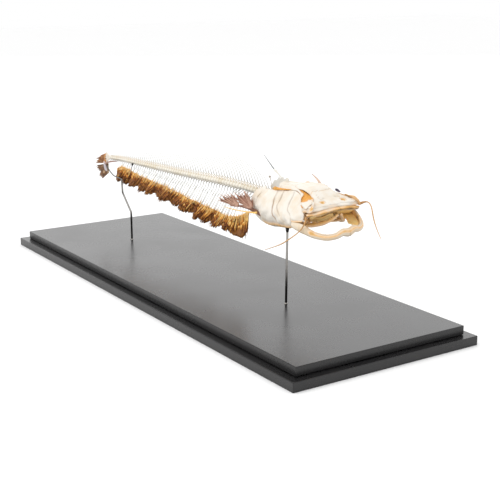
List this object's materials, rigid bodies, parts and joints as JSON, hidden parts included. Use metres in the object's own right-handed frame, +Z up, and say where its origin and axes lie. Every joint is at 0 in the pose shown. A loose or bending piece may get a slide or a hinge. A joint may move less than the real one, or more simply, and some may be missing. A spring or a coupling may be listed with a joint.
{
  "type": "catfish skeleton on a stepped plinth",
  "caption": "Mounted skeleton of a broad-headed catfish, mouth open, with long anal fin and feelers, held by steel rods over a black stepped plinth.",
  "frame": {"origin": "middle of the plinth's underside", "axes": "+X from tail to head, +Z up, -Y to the fish's right side, which faces the camera"},
  "size_m": [0.619, 0.219, 0.1681],
  "materials": {
    "black_lacquer": "semi-gloss black lacquer",
    "rod_steel": "satin",
    "bleached_bone": "satin",
    "dried_fin": "satin",
    "pink_fin": "satin",
    "dried_barbel": "satin",
    "dried_eye": "satin",
    "dried_muscle": "satin"
  },
  "bodies": {
    "root": {"anal_fin_front": "dried_fin", "anal_fin_middle": "dried_fin", "anal_fin_rear": "dried_fin", "barbel_left": "dried_barbel", "barbel_right": "dried_barbel", "caudal_fin_lower": "dried_fin", "caudal_fin_upper": "dried_fin", "cheek_left": "bleached_bone", "cheek_right": "bleached_bone", "column_front": "bleached_bone", "column_middle": "bleached_bone", "column_rear": "bleached_bone", "dorsal_fin_stub": "bleached_bone", "eye_left": "dried_eye", "fin_tie": "rod_steel", "gill_arches": "bleached_bone", "girdle_left": "bleached_bone", "girdle_right": "bleached_bone", "hyoid_left": "bleached_bone", "hyoid_right": "bleached_bone", "hypural_plate": "bleached_bone", "mandible_left": "bleached_bone", "mandible_right": "bleached_bone", "nape_crest": "bleached_bone", "neurocranium": "bleached_bone", "opercle_left": "bleached_bone", "opercle_right": "bleached_bone", "orbit_muscle_left": "dried_muscle", "orbit_muscle_right": "dried_muscle", "pectoral_fin_left": "pink_fin", "pectoral_fin_right": "pink_fin", "plinth_lower_slab": "black_lacquer", "plinth_upper_slab": "black_lacquer", "ribs_left": "bleached_bone", "ribs_right": "bleached_bone", "rod_front": "rod_steel", "rod_rear": "rod_steel", "skull_splint": "bleached_bone", "tail_sinew": "dried_fin", "upper_jaw": "bleached_bone"}
  },
  "joints": []
}
